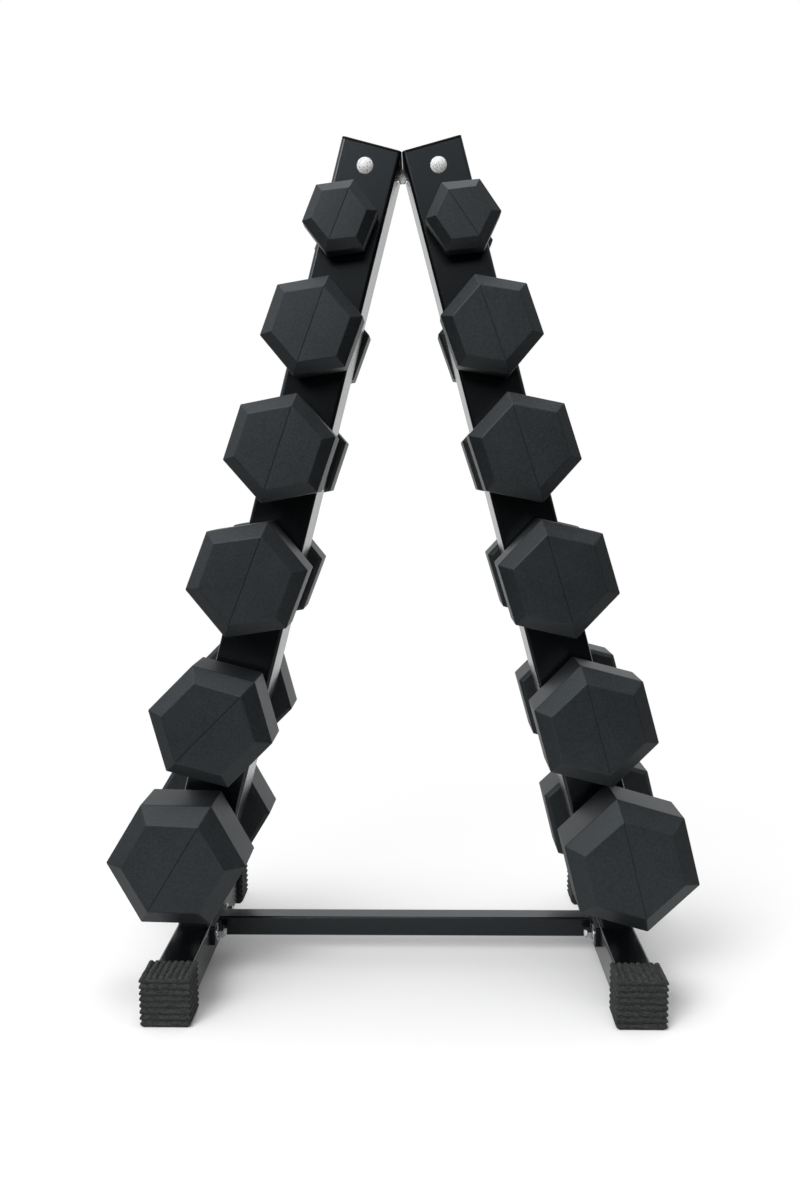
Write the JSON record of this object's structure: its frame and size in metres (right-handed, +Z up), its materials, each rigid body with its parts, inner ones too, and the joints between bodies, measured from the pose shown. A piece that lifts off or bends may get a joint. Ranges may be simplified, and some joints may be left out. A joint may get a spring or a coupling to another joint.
{
  "type": "dumbbell rack",
  "caption": "Black A-frame dumbbell rack of two leaning notched legs on ribbed feet, loaded with graded pairs of rubber hex dumbbells on chrome handles.",
  "frame": {"origin": "on the floor, under the middle of the frame", "axes": "+Z up, +X across the frame towards the right leg, +Y from the front to the rear"},
  "size_m": [0.6331, 0.367, 0.9209],
  "materials": {
    "frame_paint": "satin black powder coat",
    "plug_plastic": "matt",
    "cap_rubber": "matt, ribbed",
    "zinc": "bright zinc plate",
    "head_rubber": "matt, finely pitted",
    "core_iron": "as cast",
    "handle_chrome": "knurled and plated"
  },
  "bodies": {
    "rack": {"left_leg": "frame_paint", "right_leg": "frame_paint", "left_leg_plug": "plug_plastic", "right_leg_plug": "plug_plastic", "link_plate": "zinc", "top_bolts": "zinc", "top_spacers": "zinc", "top_washers": "zinc", "top_nuts": "zinc", "left_foot": "frame_paint", "right_foot": "frame_paint", "leg_posts": "frame_paint", "leg_bolts": "zinc", "leg_washers": "zinc", "leg_nuts": "zinc", "crossbar": "frame_paint", "crossbar_flanges": "frame_paint", "foot_bolts": "zinc", "foot_washers": "zinc", "foot_nuts": "zinc", "front_left_foot_cap": "cap_rubber", "front_right_foot_cap": "cap_rubber", "rear_left_foot_cap": "cap_rubber", "rear_right_foot_cap": "cap_rubber"},
    "left_dumbbell_1": {"left_dumbbell_1_heads": "head_rubber", "left_dumbbell_1_cores": "core_iron", "left_dumbbell_1_handle": "handle_chrome"},
    "left_dumbbell_2": {"left_dumbbell_2_heads": "head_rubber", "left_dumbbell_2_cores": "core_iron", "left_dumbbell_2_handle": "handle_chrome"},
    "left_dumbbell_3": {"left_dumbbell_3_heads": "head_rubber", "left_dumbbell_3_cores": "core_iron", "left_dumbbell_3_handle": "handle_chrome"},
    "left_dumbbell_4": {"left_dumbbell_4_heads": "head_rubber", "left_dumbbell_4_cores": "core_iron", "left_dumbbell_4_handle": "handle_chrome"},
    "left_dumbbell_5": {"left_dumbbell_5_heads": "head_rubber", "left_dumbbell_5_cores": "core_iron", "left_dumbbell_5_handle": "handle_chrome"},
    "left_dumbbell_6": {"left_dumbbell_6_heads": "head_rubber", "left_dumbbell_6_cores": "core_iron", "left_dumbbell_6_handle": "handle_chrome"},
    "right_dumbbell_1": {"right_dumbbell_1_heads": "head_rubber", "right_dumbbell_1_cores": "core_iron", "right_dumbbell_1_handle": "handle_chrome"},
    "right_dumbbell_2": {"right_dumbbell_2_heads": "head_rubber", "right_dumbbell_2_cores": "core_iron", "right_dumbbell_2_handle": "handle_chrome"},
    "right_dumbbell_3": {"right_dumbbell_3_heads": "head_rubber", "right_dumbbell_3_cores": "core_iron", "right_dumbbell_3_handle": "handle_chrome"},
    "right_dumbbell_4": {"right_dumbbell_4_heads": "head_rubber", "right_dumbbell_4_cores": "core_iron", "right_dumbbell_4_handle": "handle_chrome"},
    "right_dumbbell_5": {"right_dumbbell_5_heads": "head_rubber", "right_dumbbell_5_cores": "core_iron", "right_dumbbell_5_handle": "handle_chrome"},
    "right_dumbbell_6": {"right_dumbbell_6_heads": "head_rubber", "right_dumbbell_6_cores": "core_iron", "right_dumbbell_6_handle": "handle_chrome"}
  },
  "joints": [
    {"name": "left_dumbbell_1_lift", "type": "slide", "parent": "rack", "child": "left_dumbbell_1", "axis": [-0.866, 0, 0.5], "range_m": [0, 0.15]},
    {"name": "left_dumbbell_2_lift", "type": "slide", "parent": "rack", "child": "left_dumbbell_2", "axis": [-0.866, 0, 0.5], "range_m": [0, 0.15]},
    {"name": "left_dumbbell_3_lift", "type": "slide", "parent": "rack", "child": "left_dumbbell_3", "axis": [-0.866, 0, 0.5], "range_m": [0, 0.15]},
    {"name": "left_dumbbell_4_lift", "type": "slide", "parent": "rack", "child": "left_dumbbell_4", "axis": [-0.866, 0, 0.5], "range_m": [0, 0.15]},
    {"name": "left_dumbbell_5_lift", "type": "slide", "parent": "rack", "child": "left_dumbbell_5", "axis": [-0.866, 0, 0.5], "range_m": [0, 0.15]},
    {"name": "left_dumbbell_6_lift", "type": "slide", "parent": "rack", "child": "left_dumbbell_6", "axis": [-0.866, 0, 0.5], "range_m": [0, 0.15]},
    {"name": "right_dumbbell_1_lift", "type": "slide", "parent": "rack", "child": "right_dumbbell_1", "axis": [0.866, 0, 0.5], "range_m": [0, 0.15]},
    {"name": "right_dumbbell_2_lift", "type": "slide", "parent": "rack", "child": "right_dumbbell_2", "axis": [0.866, 0, 0.5], "range_m": [0, 0.15]},
    {"name": "right_dumbbell_3_lift", "type": "slide", "parent": "rack", "child": "right_dumbbell_3", "axis": [0.866, 0, 0.5], "range_m": [0, 0.15]},
    {"name": "right_dumbbell_4_lift", "type": "slide", "parent": "rack", "child": "right_dumbbell_4", "axis": [0.866, 0, 0.5], "range_m": [0, 0.15]},
    {"name": "right_dumbbell_5_lift", "type": "slide", "parent": "rack", "child": "right_dumbbell_5", "axis": [0.866, 0, 0.5], "range_m": [0, 0.15]},
    {"name": "right_dumbbell_6_lift", "type": "slide", "parent": "rack", "child": "right_dumbbell_6", "axis": [0.866, 0, 0.5], "range_m": [0, 0.15]}
  ]
}
